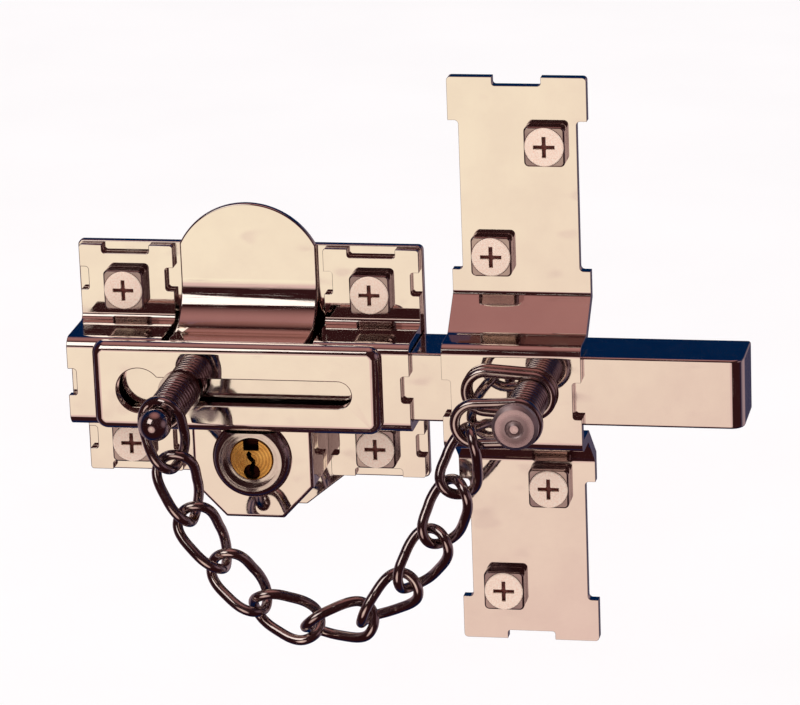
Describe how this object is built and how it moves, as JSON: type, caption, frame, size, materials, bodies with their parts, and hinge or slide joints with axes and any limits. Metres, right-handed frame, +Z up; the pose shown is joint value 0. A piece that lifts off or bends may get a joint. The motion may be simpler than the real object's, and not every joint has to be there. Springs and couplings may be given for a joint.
{
  "type": "door chain guard",
  "caption": "Surface-mounted sliding door bolt with a key cylinder, a keeper strap, and a welded chain whose ball-ended stud slides in a keyhole slot.",
  "frame": {"origin": "on the door face, at the centre of the four body screws, which is on the bolt's centre line", "axes": "+X along the bolt towards the door frame, +Z up, +Y into the door; the room is on the -Y side"},
  "size_m": [0.154, 0.0712, 0.133],
  "materials": {
    "polished_plate": "mirror-polished nickel-chrome plate on pressed steel",
    "dark_chrome": "bright chrome plate, looks dark because it is round",
    "stud_metal": "turned and lightly polished, with concentric tool marks",
    "screw_steel": "satin plated countersunk heads",
    "spring_steel": "plain drawn wire",
    "plain_steel": "machined steel",
    "brass": "turned brass with fine rings on its face"
  },
  "bodies": {
    "lock_body": {"base_plate": "polished_plate", "left_bracket": "polished_plate", "right_bracket": "polished_plate", "bolt_housing": "polished_plate", "slot_cover": "polished_plate", "cylinder_housing": "polished_plate", "cylinder_rose": "polished_plate", "cylinder_body": "dark_chrome", "pin_chamber_strip": "brass", "driver_pins": "brass", "pin_springs": "spring_steel", "body_bushes": "dark_chrome", "body_screws": "screw_steel", "keeper_strap": "polished_plate", "keeper_bushes": "dark_chrome", "keeper_screws": "screw_steel", "keeper_post": "stud_metal", "keeper_spring": "dark_chrome"},
    "bolt": {"bolt": "polished_plate"},
    "key_plug": {"cylinder_plug": "brass", "key_pins": "brass", "plug_clip": "spring_steel", "drive_pinion": "plain_steel"},
    "chain_stud": {"chain_stud": "dark_chrome", "stud_washer": "dark_chrome", "stud_spring": "dark_chrome"},
    "end_rings": {"front_end_ring": "dark_chrome", "rear_end_ring": "dark_chrome"},
    "chain_link_01": {"chain_link_01": "dark_chrome"},
    "chain_link_02": {"chain_link_02": "dark_chrome"},
    "chain_link_03": {"chain_link_03": "dark_chrome"},
    "chain_link_04": {"chain_link_04": "dark_chrome"},
    "chain_link_05": {"chain_link_05": "dark_chrome"},
    "chain_link_06": {"chain_link_06": "dark_chrome"},
    "chain_link_07": {"chain_link_07": "dark_chrome"},
    "chain_link_08": {"chain_link_08": "dark_chrome"},
    "chain_link_09": {"chain_link_09": "dark_chrome"},
    "chain_link_10": {"chain_link_10": "dark_chrome"}
  },
  "joints": [
    {"name": "bolt_slide", "type": "slide", "parent": "lock_body", "child": "bolt", "axis": [-1, 0, 0], "range_m": [0, 0.074]},
    {"name": "key_turn", "type": "hinge", "parent": "lock_body", "child": "key_plug", "pos_m": [0.0026, -0.01, -0.01706], "axis": [0, -1, 0], "range_deg": [0, 418.2]},
    {"name": "stud_slide", "type": "slide", "parent": "lock_body", "child": "chain_stud", "axis": [1, 0, 0], "range_m": [-0.0095, 0.036]},
    {"name": "link_01_swing", "type": "hinge", "parent": "chain_stud", "child": "chain_link_01", "pos_m": [-0.0128, -0.0401, -0.0008], "axis": [0, -1, 0], "range_deg": [-48.99, 13.07]},
    {"name": "link_02_swing", "type": "hinge", "parent": "chain_link_01", "child": "chain_link_02", "pos_m": [-0.01079, -0.0401, -0.01116], "axis": [0, -1, 0], "range_deg": [-7.51, 27.91]},
    {"name": "link_03_swing", "type": "hinge", "parent": "chain_link_02", "child": "chain_link_03", "pos_m": [-0.00726, -0.0401, -0.02346], "axis": [0, -1, 0], "range_deg": [-2.58, 9.21]},
    {"name": "link_04_swing", "type": "hinge", "parent": "chain_link_03", "child": "chain_link_04", "pos_m": [-0.00067, -0.0401, -0.03443], "axis": [0, -1, 0], "range_deg": [-0.85, 2.65]},
    {"name": "link_05_swing", "type": "hinge", "parent": "chain_link_04", "child": "chain_link_05", "pos_m": [0.00773, -0.0401, -0.04409], "axis": [0, -1, 0], "range_deg": [-1.13, 3.74]},
    {"name": "link_06_swing", "type": "hinge", "parent": "chain_link_05", "child": "chain_link_06", "pos_m": [0.01951, -0.0401, -0.04909], "axis": [0, -1, 0], "range_deg": [-1.1, 3.59]},
    {"name": "link_07_swing", "type": "hinge", "parent": "chain_link_06", "child": "chain_link_07", "pos_m": [0.03208, -0.0401, -0.04665], "axis": [0, -1, 0], "range_deg": [-1.44, 4.9]},
    {"name": "link_08_swing", "type": "hinge", "parent": "chain_link_07", "child": "chain_link_08", "pos_m": [0.04159, -0.0401, -0.03809], "axis": [0, -1, 0], "range_deg": [-2.87, 10.33]},
    {"name": "link_09_swing", "type": "hinge", "parent": "chain_link_08", "child": "chain_link_09", "pos_m": [0.04837, -0.0401, -0.02723], "axis": [0, -1, 0], "range_deg": [-7.59, 28.22]},
    {"name": "link_10_swing", "type": "hinge", "parent": "chain_link_09", "child": "chain_link_10", "pos_m": [0.05317, -0.0401, -0.01536], "axis": [0, -1, 0], "range_deg": [-11.68, 3.23]},
    {"name": "rings_swing", "type": "hinge", "parent": "lock_body", "child": "end_rings", "pos_m": [0.0672, -0.0401, 0], "axis": [0, -1, 0], "range_deg": [-1.42, 4.81]}
  ],
  "couplings": [
    {"joint": "key_turn", "follows": "bolt_slide", "rad_per_m": 98.522},
    {"joint": "link_01_swing", "follows": "stud_slide", "rad_per_m": -23.653},
    {"joint": "link_02_swing", "follows": "stud_slide", "rad_per_m": 13.435},
    {"joint": "link_03_swing", "follows": "stud_slide", "rad_per_m": 4.3667},
    {"joint": "link_04_swing", "follows": "stud_slide", "rad_per_m": 1.1867},
    {"joint": "link_05_swing", "follows": "stud_slide", "rad_per_m": 1.7156},
    {"joint": "link_06_swing", "follows": "stud_slide", "rad_per_m": 1.6454},
    {"joint": "link_07_swing", "follows": "stud_slide", "rad_per_m": 2.2798},
    {"joint": "link_08_swing", "follows": "stud_slide", "rad_per_m": 4.9126},
    {"joint": "link_09_swing", "follows": "stud_slide", "rad_per_m": 13.584},
    {"joint": "link_10_swing", "follows": "stud_slide", "rad_per_m": -5.5658},
    {"joint": "rings_swing", "follows": "stud_slide", "rad_per_m": 2.233}
  ]
}
